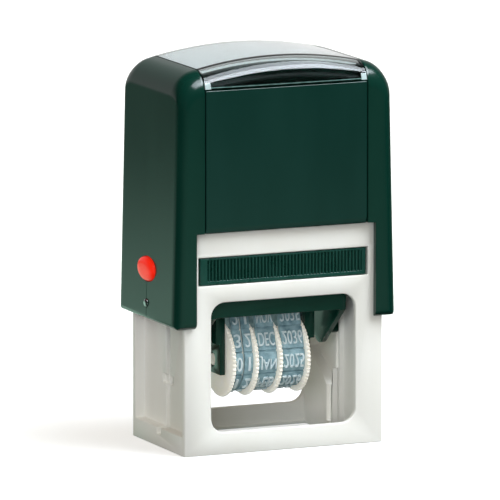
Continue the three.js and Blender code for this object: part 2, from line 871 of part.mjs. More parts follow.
// A date wheel about the shaft: a hub for the band and a serrated flange to turn it by.
function buildWheel(unit) {
  const hub = rodX(bandRadius - runGap, unit.from, unit.to, 0, 0);
  const flange = prismX(flangeShape(), unit.flangeFrom, unit.flangeFrom + flangeThickness);
  const reach = armOuter + overrun;
  return join([hub, flange]).subtract(rodX(shaftDiameter / 2 + runGap, -reach, reach, 0, 0));
}

// A band's outline: round the wheel, and over the two corners of the nose.
function bandOutline(thickness) {
  const wheel = bandRadius + thickness;
  const nose = noseCorner + thickness;
  const rise = wheelDrop + noseRise;
  const span = Math.hypot(noseHalfFlat, rise);
  const share = (wheel - nose) / span;
  const lean = Math.atan2(rise, noseHalfFlat) - Math.acos(share);
  const shape = new THREE.Shape();
  shape.absarc(0, -wheelDrop, wheel, Math.PI - lean, 2 * Math.PI + lean, false);
  shape.absarc(noseHalfFlat, noseRise, nose, lean, Math.PI / 2, false);
  shape.absarc(-noseHalfFlat, noseRise, nose, Math.PI / 2, Math.PI - lean, false);
  shape.closePath();
  return shape;
}

function buildBand(unit) {
  const outer = prismX(bandOutline(bandThickness), unit.bandFrom, unit.bandTo, bandSteps);
  const inner = prismX(bandOutline(0), unit.bandFrom - overrun, unit.bandTo + overrun, bandSteps);
  return outer.subtract(inner);
}

function dateCarriage() {
  const carriage = new THREE.Group();
  carriage.position.z = axleHeight;
  carriage.add(piece('die_holder', buildHolder(), finishes.cover));
  carriage.add(piece('plate_cushion', buildCushion(), finishes.cushion));
  carriage.add(piece('text_plate', buildTextPlate(), finishes.rubber));
  carriage.add(piece('band_bracket', buildBracket(), finishes.cover));
  const wheels = new THREE.Group();
  wheels.position.z = -wheelDrop;
  wheels.add(piece('wheel_shaft', buildShaft(), finishes.wheel));
  for (const unit of dateUnits()) {
    wheels.add(piece(`${unit.name}_wheel`, buildWheel(unit), finishes.wheel));
    carriage.add(piece(`${unit.name}_band`, buildBand(unit), finishes.band));
  }
  carriage.add(wheels);
  return carriage;
}

function pressingCover() {
  const cover = new THREE.Group();
  cover.add(piece('cover_shell', buildCover(), finishes.cover));
  cover.add(piece('front_panel', buildPanel(-1), finishes.panel));
  cover.add(piece('rear_panel', buildPanel(1), finishes.panel));
  cover.add(piece('index_window', buildIndexWindow(), finishes.clear));
  cover.add(piece('index_card', buildCard(), finishes.card));
  cover.add(piece('lock_button_left', buildButton(-1), finishes.button));
  cover.add(piece('lock_button_right', buildButton(1), finishes.button));
  const axle = piece('axle_pin', buildAxle(), finishes.steel);
  axle.position.z = axleHeight;
  cover.add(axle);
  return cover;
}

const stamp = new THREE.Group();
stamp.add(piece('base_frame', buildFrame(), finishes.frame));
stamp.add(piece('pad_tray', buildTray(), finishes.tray));
stamp.add(piece('ink_felt', buildFelt(), finishes.felt));
stamp.add(piece('main_spring', buildSpring(), finishes.steel));
stamp.add(pressingCover());
stamp.add(dateCarriage());

export default stamp;
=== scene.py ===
# Self-inking date stamp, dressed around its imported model. Metres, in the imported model's own frame.
import json
import math

import bpy
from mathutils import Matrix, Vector

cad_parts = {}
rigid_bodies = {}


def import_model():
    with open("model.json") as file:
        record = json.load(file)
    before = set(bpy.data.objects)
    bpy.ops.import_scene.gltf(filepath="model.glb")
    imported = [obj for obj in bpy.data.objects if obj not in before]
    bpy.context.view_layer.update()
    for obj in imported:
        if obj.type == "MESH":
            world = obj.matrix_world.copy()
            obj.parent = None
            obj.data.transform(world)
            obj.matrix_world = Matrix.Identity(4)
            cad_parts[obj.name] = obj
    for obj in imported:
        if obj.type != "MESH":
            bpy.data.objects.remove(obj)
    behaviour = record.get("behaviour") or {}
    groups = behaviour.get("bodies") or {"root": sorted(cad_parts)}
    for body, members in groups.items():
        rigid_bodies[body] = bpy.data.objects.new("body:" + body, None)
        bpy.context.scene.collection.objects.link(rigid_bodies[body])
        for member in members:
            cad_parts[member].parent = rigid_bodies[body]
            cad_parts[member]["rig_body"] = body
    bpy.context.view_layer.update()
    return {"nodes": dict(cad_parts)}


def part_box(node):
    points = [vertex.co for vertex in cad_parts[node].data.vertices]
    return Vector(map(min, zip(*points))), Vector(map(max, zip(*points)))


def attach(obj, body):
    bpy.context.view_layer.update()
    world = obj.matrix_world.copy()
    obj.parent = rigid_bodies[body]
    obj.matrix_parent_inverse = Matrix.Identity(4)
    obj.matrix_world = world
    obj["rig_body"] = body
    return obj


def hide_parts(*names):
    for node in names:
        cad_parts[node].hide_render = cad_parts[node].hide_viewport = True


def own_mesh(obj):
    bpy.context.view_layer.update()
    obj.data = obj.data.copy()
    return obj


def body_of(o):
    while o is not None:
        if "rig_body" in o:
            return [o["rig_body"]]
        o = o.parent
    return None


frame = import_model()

mm = 0.001
close = 0.001  # places this near each other, in millimetres, count as one
doubled = 0.002  # points this near each other are merged
facing = 0.99  # how squarely a face looks along an axis when it is picked by its normal
over = 1  # how far a cutting tool reaches past what it cuts


# Selection and mesh helpers

def selectOnly(*pieces):
    bpy.ops.object.select_all(action="DESELECT")
    for piece in pieces:
        piece.select_set(True)
    bpy.context.view_layer.objects.active = pieces[0]


def openEdit(piece, kind="FACE"):
    selectOnly(piece)
    bpy.ops.object.mode_set(mode="EDIT")
    bpy.ops.mesh.select_mode(type=kind)


def closeEdit():
    bpy.ops.object.mode_set(mode="OBJECT")


# Opens a piece with all of it selected
def openAll(piece, kind="FACE"):
    openEdit(piece, kind)
    bpy.ops.mesh.select_all(action="SELECT")


def faceOutwards(piece):
    openAll(piece)
    bpy.ops.mesh.normals_make_consistent(inside=False)
    closeEdit()


# Opens a piece with only the faces selected whose centre and normal pass the test
def pickFaces(piece, test):
    openEdit(piece, "FACE")
    bpy.ops.mesh.select_all(action="DESELECT")
    closeEdit()
    for face in piece.data.polygons:
        face.select = test(face.center / mm, face.normal)
    bpy.ops.object.mode_set(mode="EDIT")


# Opens a piece with only the edges selected whose two ends, in millimetres, pass the test
def pickEdges(piece, test):
    openEdit(piece, "EDGE")
    bpy.ops.mesh.select_all(action="DESELECT")
    closeEdit()
    points = piece.data.vertices
    for edge in piece.data.edges:
        a, b = (points[index].co / mm for index in edge.vertices)
        edge.select = test(a, b)
    bpy.ops.object.mode_set(mode="EDIT")


def applyModifier(piece, kind, **settings):
    selectOnly(piece)
    modifier = piece.modifiers.new(kind.title(), kind)
    for key, value in settings.items():
        setattr(modifier, key, value)
    bpy.ops.object.modifier_apply(modifier=modifier.name)


def cutWith(piece, tool, operation="DIFFERENCE"):
    applyModifier(piece, "BOOLEAN", operation=operation, solver="EXACT", object=tool)
    bpy.data.objects.remove(tool)


def roundEdges(piece, width, segments=2, sharpFrom=32):
    applyModifier(
        piece, "BEVEL", width=width * mm, segments=segments, limit_method="ANGLE",
        angle_limit=math.radians(sharpFrom), use_clamp_overlap=False, miter_outer="MITER_ARC",
    )


def smooth(piece, angle=35):
    selectOnly(piece)
    bpy.ops.object.shade_smooth_by_angle(angle=math.radians(angle))


# Merges doubled points, and takes out edges that bend less than an angle
def mergeFlat(piece, flat=0.6):
    openAll(piece, "VERT")
    bpy.ops.mesh.remove_doubles(threshold=doubled * mm)
    bpy.ops.mesh.dissolve_limited(angle_limit=math.radians(flat))
    closeEdit()


# Puts a piece's place, turn and size into its mesh
def settle(piece):
    selectOnly(piece)
    bpy.ops.object.transform_apply(location=True, rotation=True, scale=True)


# Names what was added last, and settles it
def takeNew(name):
    piece = bpy.context.object
    piece.name = name
    settle(piece)
    return piece


# A box between two corners
def block(name, low, high):
    size = [b - a for a, b in zip(low, high)]
    centre = [(a + b) / 2 * mm for a, b in zip(low, high)]
    bpy.ops.object.select_all(action="DESELECT")
    bpy.ops.mesh.primitive_cube_add(size=mm, location=centre, scale=size)
    return takeNew(name)


# A round bar between two places along an axis
def rod(name, radius, axis, start, end, centre=(0, 0), sides=64):
    turn = {"x": (0, math.pi / 2, 0), "y": (math.pi / 2, 0, 0), "z": (0, 0, 0)}[axis]
    middle = (start + end) / 2
    place = {
        "x": (middle, *centre),
        "y": (centre[0], middle, centre[1]),
        "z": (*centre, middle),
    }[axis]
    bpy.ops.object.select_all(action="DESELECT")
    bpy.ops.mesh.primitive_cylinder_add(
        vertices=sides, radius=radius * mm, depth=(end - start) * mm,
        location=[value * mm for value in place], rotation=turn,
    )
    return takeNew(name)


# An oval bar along X, between two places
def ovalRod(name, long, high, start, end, sides=64):
    piece = rod(name, 1, "x", start, end, sides=sides)
    piece.scale = (1, long, high)
    settle(piece)
    return piece


def cadCopy(node, name):
    piece = frame["nodes"][node].copy()
    piece.data = piece.data.copy()
    piece.name = name
    piece.parent = None
    for key in list(piece.keys()):
        del piece[key]
    bpy.context.collection.objects.link(piece)
    mergeFlat(piece)
    return piece


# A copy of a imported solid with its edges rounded
def softCopy(node, name, width, steps=2):
    piece = cadCopy(node, name)
    roundEdges(piece, width, steps)
    smooth(piece)
    return piece


# Rounds the end of a bar that lies along X, in rings that draw in as they rise
def domeEnd(piece, side, place, rise, power, steps=9):
    pickFaces(piece, lambda centre, normal: normal.x * side > facing)
    middle = [value * mm for value in place]
    lastRise, lastDraw = 0, 1
    for step in range(1, steps):
        turn = math.pi / 2 * step / steps
        up, draw = rise * math.sin(turn), math.cos(turn) ** power
        bpy.ops.mesh.extrude_region_move(
            TRANSFORM_OT_translate={"value": (side * (up - lastRise) * mm, 0, 0)},
        )
        share = draw / lastDraw
        bpy.ops.transform.resize(value=(1, share, share), center_override=middle)
        lastRise, lastDraw = up, draw
    closeEdit()


def joinPieces(name, pieces):
    selectOnly(*pieces)
    bpy.ops.object.join()
    piece = bpy.context.object
    piece.name = name
    return piece


# A closed line of edges through some places
def loopOf(points):
    bpy.ops.object.select_all(action="DESELECT")
    bpy.ops.mesh.primitive_circle_add(vertices=len(points), radius=mm)
    loop = bpy.context.object
    for vertex, point in zip(loop.data.vertices, points):
        vertex.co = [value * mm for value in point]
    return loop


# Closed outlines in X and Z, one at each depth, skinned from front to back
def loftAlongY(name, rings):
    loops = [loopOf([(x, depth, z) for x, z in outline]) for depth, outline in rings]
    piece = joinPieces(name, loops)
    openAll(piece, "EDGE")
    bpy.ops.mesh.bridge_edge_loops()
    closeEdit()
    for depth in (rings[0][0], rings[-1][0]):
        pickEdges(piece, lambda a, b: abs(a.y - depth) < close and abs(b.y - depth) < close)
        bpy.ops.mesh.edge_face_add()
        closeEdit()
    faceOutwards(piece)
    return piece


def setFinish(piece, finish):
    piece.data.materials.clear()
    piece.data.materials.append(finishes[finish])


# Gives a finished piece its finish, and puts it in the place of a imported solid
def dress(piece, node, finish=None):
    if finish:
        setFinish(piece, finish)
    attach(piece, body_of(frame["nodes"][node])[0])
    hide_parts(node)
    return piece


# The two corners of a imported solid's box, in millimetres
def boxOf(node):
    return [Vector(corner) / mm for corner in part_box(node)]


# Finishes: each reads object coordinates, in metres

# A colour as written, from 0 to 255, in the light values that a shader takes
def linear(colour):
    def channel(value):
        share = value / 255
        return share / 12.92 if share <= 0.04045 else ((share + 0.055) / 1.055) ** 2.4
    return (*(channel(value) for value in colour), 1)


def startFinish(name):
    finish = bpy.data.materials.new(name)
    finish.use_nodes = True
    tree = finish.node_tree
    shader = tree.nodes["Principled BSDF"]
    coords = tree.nodes.new("ShaderNodeTexCoord").outputs["Object"]
    return finish, tree, shader, coords


# Coordinates stretched along an axis, for drawn, brushed or ribbed grain
def stretched(tree, coords, share):
    mapping = tree.nodes.new("ShaderNodeMapping")
    mapping.inputs["Scale"].default_value = share
    tree.links.new(coords, mapping.inputs["Vector"])
    return mapping.outputs["Vector"]


def noise(tree, coords, size, detail=3):
    texture = tree.nodes.new("ShaderNodeTexNoise")
    texture.inputs["Scale"].default_value = 1 / (size * mm)
    texture.inputs["Detail"].default_value = detail
    tree.links.new(coords, texture.inputs["Vector"])
    return texture.outputs["Fac"]


# Brings a value from one range to another
def spread(tree, source, low, high, fromLow=0.3, fromHigh=0.7):
    remap = tree.nodes.new("ShaderNodeMapRange")
    for key, value in (("From Min", fromLow), ("From Max", fromHigh), ("To Min", low), ("To Max", high)):
        remap.inputs[key].default_value = value
    tree.links.new(source, remap.inputs["Value"])
    return remap.outputs["Result"]


def blendColours(tree, share, first, second):
    mix = tree.nodes.new("ShaderNodeMix")
    mix.data_type = "RGBA"
    colourA = next(s for s in mix.inputs if s.name == "A" and s.type == "RGBA")
    colourB = next(s for s in mix.inputs if s.name == "B" and s.type == "RGBA")
    for socket, value in ((colourA, first), (colourB, second)):
        if isinstance(value, tuple):
            socket.default_value = value
        else:
            tree.links.new(value, socket)
    tree.links.new(share, mix.inputs["Factor"])
    return next(s for s in mix.outputs if s.type == "RGBA")


# Colours a finish from one colour to another by a texture
def paint(tree, shader, source, first, second):
    colour = blendColours(tree, spread(tree, source, 0, 1), linear(first), linear(second))
    tree.links.new(colour, shader.inputs["Base Color"])
    return colour


# Makes a finish duller or glossier by a texture
def polish(tree, shader, source, roughness):
    tree.links.new(spread(tree, source, *roughness), shader.inputs["Roughness"])


# Dents or raises a surface by a texture: its strength, and its height in millimetres
def bump(tree, shader, height, depth, distance=0.05):
    node = tree.nodes.new("ShaderNodeBump")
    node.inputs["Strength"].default_value = depth
    node.inputs["Distance"].default_value = distance * mm
    tree.links.new(height, node.inputs["Height"])
    tree.links.new(node.outputs["Normal"], shader.inputs["Normal"])


plasticReach = (1, 0.92, 0.8)  # how far red, green and blue light spread inside pale plastic


# Moulded plastic: faint flow marks in the colour, a spark-eroded grain and an uneven sheen; where a look
# sets a glow, the part also shines with a painted glow in its own colour
def mouldedPlastic(name, look):
    finish, tree, shader, coords = startFinish(name)
    flow = noise(tree, stretched(tree, coords, look["flow"]), look["flowSize"])
    fine = noise(tree, coords, look["grainSize"], detail=4)
    paint(tree, shader, flow, look["colour"], look["flowColour"])
    polish(tree, shader, flow, look["roughness"])
    bump(tree, shader, fine, look["grain"])
    shader.inputs["IOR"].default_value = look["ior"]
    # Painted glow: an emission in the finish's own colour, brightening the part as if more light fell on
    # it
    shader.inputs["Emission Color"].default_value = linear(look["colour"])
    shader.inputs["Emission Strength"].default_value = look.get("paintedGlow", 0)
    shader.inputs["Subsurface Weight"].default_value = look.get("soft", 0)
    shader.inputs["Subsurface Scale"].default_value = look.get("softReach", 1) * mm
    shader.inputs["Subsurface Radius"].default_value = plasticReach
    return finish


coverLook = {
    "colour": (5, 45, 36), "flowColour": (9, 50, 40), "flow": (1, 1, 0.25), "flowSize": 9,
    "grainSize": 0.12, "grain": 0.06, "roughness": (0.16, 0.21), "ior": 1.48,
}
panelLook = {
    "colour": (8, 45, 38), "flowColour": (13, 50, 43), "flow": (1, 1, 0.3), "flowSize": 14,
    "grainSize": 0.3, "grain": 0.03, "roughness": (0.14, 0.2), "ior": 1.48,
}
trayLook = {
    "colour": (16, 62, 52), "flowColour": (22, 70, 60), "flow": (1, 1, 1), "flowSize": 4,
    "grainSize": 0.3, "grain": 0.03, "roughness": (0.26, 0.34), "ior": 1.47,
}
holderLook = {
    "colour": (4, 50, 39), "flowColour": (10, 58, 47), "flow": (0.4, 1, 1), "flowSize": 5,
    "grainSize": 0.09, "grain": 0.05, "roughness": (0.13, 0.2), "ior": 1.4,
}
frameLook = {
    "colour": (244, 242, 236), "flowColour": (241, 238, 230), "flow": (1, 1, 0.4), "flowSize": 12,
    "grainSize": 0.15, "grain": 0.06, "roughness": (0.36, 0.46), "ior": 1.49,
}
wheelPaintedGlowLook = {
    "colour": (251, 247, 237), "flowColour": (247, 240, 226), "flow": (1, 1, 1), "flowSize": 3,
    "grainSize": 0.08, "grain": 0.08, "roughness": (0.34, 0.46), "ior": 1.49,
    # the subsurface is the nylon's real translucency; the glow is a painted glow that brightens the
    # wheels' shaded faces
    "soft": 0.15, "softReach": 0.5, "paintedGlow": 0.17,
}
buttonPaintedGlowLook = {
    "colour": (252, 40, 18), "flowColour": (242, 34, 14), "flow": (1, 1, 1), "flowSize": 4,
    # the glow is a painted glow that makes the button look more brightly lit than the lamps make it
    "grainSize": 0.2, "grain": 0.03, "roughness": (0.16, 0.22), "ior": 1.49, "paintedGlow": 0.4,
}


# Clear plastic: faint moulding waves and an uneven polish
def clearPlastic(name, look):
    finish, tree, shader, coords = startFinish(name)
    wave = noise(tree, stretched(tree, coords, look["waveFlow"]), look["waveSize"], detail=1)
    bump(tree, shader, wave, look["wave"], look["waveHigh"])
    polish(tree, shader, noise(tree, coords, look["smearSize"]), look["roughness"])
    shader.inputs["Base Color"].default_value = linear(look["colour"])
    shader.inputs["Transmission Weight"].default_value = look["clear"]
    shader.inputs["IOR"].default_value = look["ior"]
    return finish


clearLook = {
    "colour": (240, 248, 247), "clear": 1, "ior": 1.49, "roughness": (0.02, 0.05), "smearSize": 2,
    "wave": 0.01, "waveHigh": 0.2, "waveSize": 12, "waveFlow": (0.4, 1, 1),
}
# The corner tabs are clear clips; their pale frosting is a painted highlight
tabPaintedHighlightLook = {
    "colour": (206, 226, 226), "clear": 0.35, "ior": 1.49, "roughness": (0.2, 0.35), "smearSize": 2,
    "wave": 0.05, "waveHigh": 0.2, "waveSize": 3, "waveFlow": (0.4, 1, 1),
}
# The lip: a pale frosted strip along the cap's lower edge, a painted highlight where that edge catches
# light
lipPaintedHighlightLook = {**tabPaintedHighlightLook, "colour": (112, 152, 146), "clear": 0.3}


# Card: paper fibres over a plain light ground, with a painted glow in its own colour standing in for the
# lamp light that the clear cap keeps off it
def cardPaper(look):
    finish, tree, shader, coords = startFinish("indexCardPaperPaintedGlow")
    fibre = noise(tree, stretched(tree, coords, look["fibreFlow"]), look["fibreSize"], detail=5)
    colour = paint(tree, shader, fibre, look["colour"], look["fibreColour"])
    # Painted glow: the card shines with its own colour, lit as the lamps would light it without the cap
    tree.links.new(colour, shader.inputs["Emission Color"])
    bump(tree, shader, fibre, look["tooth"])
    shader.inputs["Emission Strength"].default_value = look["paintedGlow"]
    shader.inputs["Roughness"].default_value = look["roughness"]
    return finish


cardPaintedGlowLook = {
    "colour": (238, 242, 244), "fibreColour": (229, 234, 237), "fibreSize": 0.25,
    "fibreFlow": (1, 0.25, 1), "tooth": 0.2, "roughness": 0.75, "paintedGlow": 0.74,
}


# Steel wire and pin: lines drawn along the wire and a little smoke from the heat
def drawnSteel(name, look):
    finish, tree, shader, coords = startFinish(name)
    lines = noise(tree, stretched(tree, coords, look["lines"]), look["lineSize"], detail=5)
    smoke = noise(tree, coords, look["smokeSize"])
    paint(tree, shader, smoke, look["colour"], look["smoke"])
    polish(tree, shader, lines, look["roughness"])
    bump(tree, shader, lines, look["depth"])
    shader.inputs["Metallic"].default_value = 1
    return finish


pinLook = {
    "colour": (214, 215, 216), "smoke": (188, 190, 193), "lines": (0.05, 1, 1), "lineSize": 0.12,
    "smokeSize": 2, "roughness": (0.14, 0.3), "depth": 0.1,
}
springLook = {
    "colour": (188, 190, 193), "smoke": (150, 153, 158), "lines": (1, 1, 0.2), "lineSize": 0.1,
    "smokeSize": 5, "roughness": (0.22, 0.4), "depth": 0.15,
}


# Inked felt: matted fibres, wet and nearly black where the ink stands
def inkedFelt(look):
    finish, tree, shader, coords = startFinish("inkedFeltPad")
    fibre = noise(tree, coords, look["fibreSize"], detail=8)
    pool = noise(tree, coords, look["poolSize"])
    paint(tree, shader, pool, look["colour"], look["wet"])
    polish(tree, shader, pool, look["roughness"])
    bump(tree, shader, fibre, look["nap"], look["napHigh"])
    shader.inputs["Sheen Weight"].default_value = look["sheen"]
    return finish


feltLook = {
    "colour": (38, 40, 78), "wet": (20, 21, 48), "fibreSize": 0.15, "poolSize": 7,
    "roughness": (0.9, 0.6), "nap": 0.8, "napHigh": 0.2, "sheen": 0.3,
}


# Cast rubber: a matt skin with fine pores, and ink that has dried in it
def castRubber(name, look):
    finish, tree, shader, coords = startFinish(name)
    pores = noise(tree, coords, look["poreSize"], detail=5)
    stain = noise(tree, coords, look["stainSize"])
    paint(tree, shader, stain, look["colour"], look["stain"])
    polish(tree, shader, stain, look["roughness"])
    bump(tree, shader, pores, look["depth"])
    return finish


dieLook = {
    "colour": (150, 82, 66), "stain": (112, 62, 60), "poreSize": 0.12, "stainSize": 5,
    "roughness": (0.5, 0.7), "depth": 0.3,
}
foamLook = {
    "colour": (196, 190, 176), "stain": (184, 176, 160), "poreSize": 0.35, "stainSize": 6,
    "roughness": (0.8, 0.95), "depth": 0.9,
}
bandLook = {
    "colour": (168, 200, 209), "stain": (108, 142, 154), "poreSize": 0.1, "stainSize": 2,
    "roughness": (0.42, 0.58), "depth": 0.2,
}
# The raised characters: the band's rubber painted lighter, a painted highlight on their raised faces
typePaintedHighlightLook = {
    "colour": (238, 248, 250), "stain": (220, 236, 241), "poreSize": 0.1, "stainSize": 2.5,
    "roughness": (0.4, 0.55), "depth": 0.15,
}

finishes = {
    "cover": mouldedPlastic("coverPlastic", coverLook),
    "panel": mouldedPlastic("panelPlastic", panelLook),
    "tray": mouldedPlastic("trayPlastic", trayLook),
    "holder": mouldedPlastic("holderPlastic", holderLook),
    "frame": mouldedPlastic("framePlastic", frameLook),
    "wheel": mouldedPlastic("wheelPlasticPaintedGlow", wheelPaintedGlowLook),
    "button": mouldedPlastic("buttonPlasticPaintedGlow", buttonPaintedGlowLook),
    "clear": clearPlastic("clearCapPlastic", clearLook),
    "tab": clearPlastic("capTabPaintedHighlight", tabPaintedHighlightLook),
    "lip": clearPlastic("capLipPaintedHighlight", lipPaintedHighlightLook),
    "card": cardPaper(cardPaintedGlowLook),
    "pin": drawnSteel("pinSteel", pinLook),
    "spring": drawnSteel("springSteel", springLook),
    "felt": inkedFelt(feltLook),
    "die": castRubber("dieRubber", dieLook),
    "foam": castRubber("cushionFoam", foamLook),
    "band": castRubber("bandRubber", bandLook),
    "type": castRubber("typeRubberPaintedHighlight", typePaintedHighlightLook),
}
print("finishes made")


# The camera stands to the left of the front, as in the photograph

cameraLook = {
    "place": (-963.9, -2196.3, 451.0), "azimuth": 23.65, "elevation": 9.45, "lens": 648, "sensor": 36,
    "farthest": 10000,
}


def setCamera(look):
    data = bpy.data.cameras.new("camera")
    data.lens = look["lens"]
    data.sensor_width = look["sensor"]
    data.clip_end = look["farthest"] * mm
    camera = bpy.data.objects.new("camera", data)
    bpy.context.collection.objects.link(camera)
    camera.location = Vector(look["place"]) * mm
    turn = math.radians(look["azimuth"])
    tilt = math.radians(look["elevation"])
    along = Vector((math.sin(turn) * math.cos(tilt), math.cos(turn) * math.cos(tilt), -math.sin(tilt)))
    camera.rotation_euler = along.to_track_quat("-Z", "Y").to_euler()
    bpy.context.scene.camera = camera


setCamera(cameraLook)


# A pale floor and soft studio light: bright behind and above, dark in front, as in the photograph

studioLook = {
    "floorSize": 3000, "floorColour": (222, 222, 222), "floorLift": 0.5, "floorBounce": 0.16,
    "floorRoughness": 0.9, "floorGloss": 0.1,
    "sky": 0.42, "skyColour": (255, 243, 221), "lampColour": (238, 247, 255), "lampAim": (0, 0, 50),
    "skyWay": (0.35, 0.85, -0.4),
    "skyRing": ((-1, 0.02), (0.2, 0.02), (0.5, 0.3), (0.76, 0.47), (0.92, 0.96)),
    "floorWay": (0, 1, 0), "floorRing": ((-1, 0.55), (-0.6, 0.02), (0, 0.02), (0.7, 0.9)),
    "poolNear": 0.25, "poolFar": 0.6, "poolBright": 0.9, "poolDim": 0.17, "poolColour": (208, 255, 232),
    "lamps": {
        "key": {"place": (515, -442, 1110), "size": (900, 900), "power": 25, "seen": "diffuse"},
        "through": {"place": (515, -442, 1110), "size": (1500, 1500), "power": 4, "seen": "transmission"},
        "shine": {"place": (364, -442, 1170), "size": (1250, 600), "power": 20, "seen": "glossy"},
        "core": {"place": (475, -538, 1078), "size": (700, 350), "power": 7.5, "seen": "glossy"},
        "side": {"place": (-1150, -150, 350), "size": (520, 520), "power": 0.8, "seen": "diffuse"},
        "fill": {"place": (-740, -1060, 350), "size": (640, 640), "power": 6, "seen": "diffuse"},
    },
}


# A lamp that lights, is mirrored or shines through, as its rays are chosen
def softbox(name, look, colour, aim):
    data = bpy.data.lights.new(name, "AREA")
    data.color = linear(colour)[:3]
    data.shape = "RECTANGLE"
    data.size, data.size_y = (side * mm for side in look["size"])
    data.energy = look["power"]
    lamp = bpy.data.objects.new(name, data)
    bpy.context.collection.objects.link(lamp)
    lamp.location = Vector(look["place"]) * mm
    way = Vector(aim) * mm - lamp.location
    lamp.rotation_euler = way.to_track_quat("-Z", "Y").to_euler()
    lamp.visible_diffuse = look["seen"] == "diffuse"
    lamp.visible_glossy = look["seen"] == "glossy"
    lamp.visible_transmission = look["seen"] == "transmission"


def calculate(tree, operation, first, second):
    node = tree.nodes.new("ShaderNodeMath")
    node.operation = operation
    tree.links.new(first, node.inputs[0])
    tree.links.new(second, node.inputs[1])
    return node.outputs["Value"]


# One for rays of the given kinds, and nought for all others
def rayShare(tree, *rays):
    path = tree.nodes.new("ShaderNodeLightPath")
    share = path.outputs[rays[0]]
    for ray in rays[1:]:
        share = calculate(tree, "MAXIMUM", share, path.outputs[ray])
    return share


# One value where the share is nought, another where it is one
def choose(tree, share, first, second):
    mix = tree.nodes.new("ShaderNodeMix")
    tree.links.new(share, mix.inputs["Factor"])
    for key, value in (("A", first), ("B", second)):
        if isinstance(value, (int, float)):
            mix.inputs[key].default_value = value
        else:
            tree.links.new(value, mix.inputs[key])
    return mix.outputs["Result"]


# A tone read from how far a way points along a given one
def ringTone(tree, way, along, stops):
    share = tree.nodes.new("ShaderNodeVectorMath")
    share.operation = "DOT_PRODUCT"
    share.inputs[1].default_value = along
    tree.links.new(way, share.inputs[0])
    ring = tree.nodes.new("ShaderNodeValToRGB")
    tree.links.new(spread(tree, share.outputs["Value"], 0, 1, -1, 1), ring.inputs["Fac"])
    elements = ring.color_ramp.elements
    for _ in stops[2:]:
        elements.new(0.5)
    for element, (place, tone) in zip(elements, stops):
        element.position = (place + 1) / 2
        element.color = (tone, tone, tone, 1)
    return ring.outputs["Color"]


# A vector's length or its plain direction
def measured(tree, coords, operation, output):
    node = tree.nodes.new("ShaderNodeVectorMath")
    node.operation = operation
    tree.links.new(coords, node.inputs[0])
    return node.outputs[output]


def makeFloor(look):
    bpy.ops.object.select_all(action="DESELECT")
    bpy.ops.mesh.primitive_plane_add(size=look["floorSize"] * mm)
    floor = bpy.context.object
    floor.name = "floor"
    finish, tree, shader, coords = startFinish("floorPaper")
    way = measured(tree, coords, "NORMALIZE", "Vector")
    tone = ringTone(tree, way, look["floorWay"], look["floorRing"])
    reach = measured(tree, coords, "LENGTH", "Value")
    pool = spread(tree, reach, look["poolBright"], look["poolDim"], look["poolNear"], look["poolFar"])
    mirrored = calculate(tree, "MULTIPLY", tone, pool)
    seen = rayShare(tree, "Is Camera Ray")
    reflecting = rayShare(tree, "Is Glossy Ray", "Is Transmission Ray")
    paper = choose(tree, seen, look["floorBounce"], linear(look["floorColour"])[0])
    tree.links.new(choose(tree, reflecting, paper, 0), shader.inputs["Base Color"])
    lift = choose(tree, seen, 0, look["floorLift"])
    tree.links.new(choose(tree, reflecting, lift, mirrored), shader.inputs["Emission Strength"])
    shader.inputs["Roughness"].default_value = look["floorRoughness"]
    shader.inputs["Specular IOR Level"].default_value = look["floorGloss"]
    colour = blendColours(tree, reflecting, (1, 1, 1, 1), linear(look["poolColour"]))
    tree.links.new(colour, shader.inputs["Emission Color"])
    floor.data.materials.append(finish)


def makeSky(look):
    world = bpy.data.worlds.new("studio")
    bpy.context.scene.world = world
    world.use_nodes = True
    tree = world.node_tree
    background = tree.nodes["Background"]
    way = tree.nodes.new("ShaderNodeTexCoord").outputs["Generated"]
    mirrored = ringTone(tree, way, look["skyWay"], look["skyRing"])
    unseen = choose(tree, rayShare(tree, "Is Glossy Ray", "Is Transmission Ray"), look["sky"], mirrored)
    strength = choose(tree, rayShare(tree, "Is Camera Ray"), unseen, 1)
    tree.links.new(strength, background.inputs["Strength"])
    plain = rayShare(tree, "Is Camera Ray", "Is Glossy Ray", "Is Transmission Ray")
    colour = blendColours(tree, plain, linear(look["skyColour"]), (1, 1, 1, 1))
    tree.links.new(colour, background.inputs["Color"])


makeFloor(studioLook)
makeSky(studioLook)
for lampName, lampLook in studioLook["lamps"].items():
    softbox(lampName + "Softbox", lampLook, studioLook["lampColour"], studioLook["lampAim"])
bpy.context.scene.view_settings.view_transform = "Standard"
print("studio set")


# The white frame

frameShape = {"edge": 0.25, "edgeSteps": 2}


def makeFrame(shape):
    piece = softCopy("base_frame", "whiteFrame", shape["edge"], shape["edgeSteps"])
    dress(piece, "base_frame", "frame")


makeFrame(frameShape)
print("frame made")


# The cover: a drafted shell with rounded shoulders, a crowned top and a rounded front

coverShape = {
    "draft": 1.75, "wall": 1.8, "ceiling": 4, "crownRise": 2.6, "crownHalf": 23.6, "shoulder": 7.3,
    "front": 6.8, "upright": 3, "foot": 2, "footSteps": 8, "cutoutHalf": 26.2, "panelHalf": 23.85,
    "panelDeep": 1.15, "panelTop": 99.45, "capDeep": 1.35, "capTopDeep": 1.8, "socket": 8.5,
    "socketWall": 1.5, "socketDeep": 5, "socketFloor": 0.5, "pinHole": 1.18, "lockHole": (5.66, 3.4),
    "lockHeight": 48.9, "pinHeight": 39.6, "groove": 0.26, "grooveDeep": 0.14, "flat": 0.05,
    "edge": 0.22, "edgeTop": 97, "crownSteps": 26, "shoulderSteps": 14, "frontSteps": 18,
}
coverLow, coverHigh = boxOf("cover_shell")
coverTop = boxOf("index_window")[1].z
panelLow = boxOf("front_panel")[0]


# Half the cover's width at a height, less a wall
def coverHalfAt(height, inset):
    return coverHigh.x - inset - coverShape["draft"] * (height - coverLow.z) / (coverTop - coverLow.z)


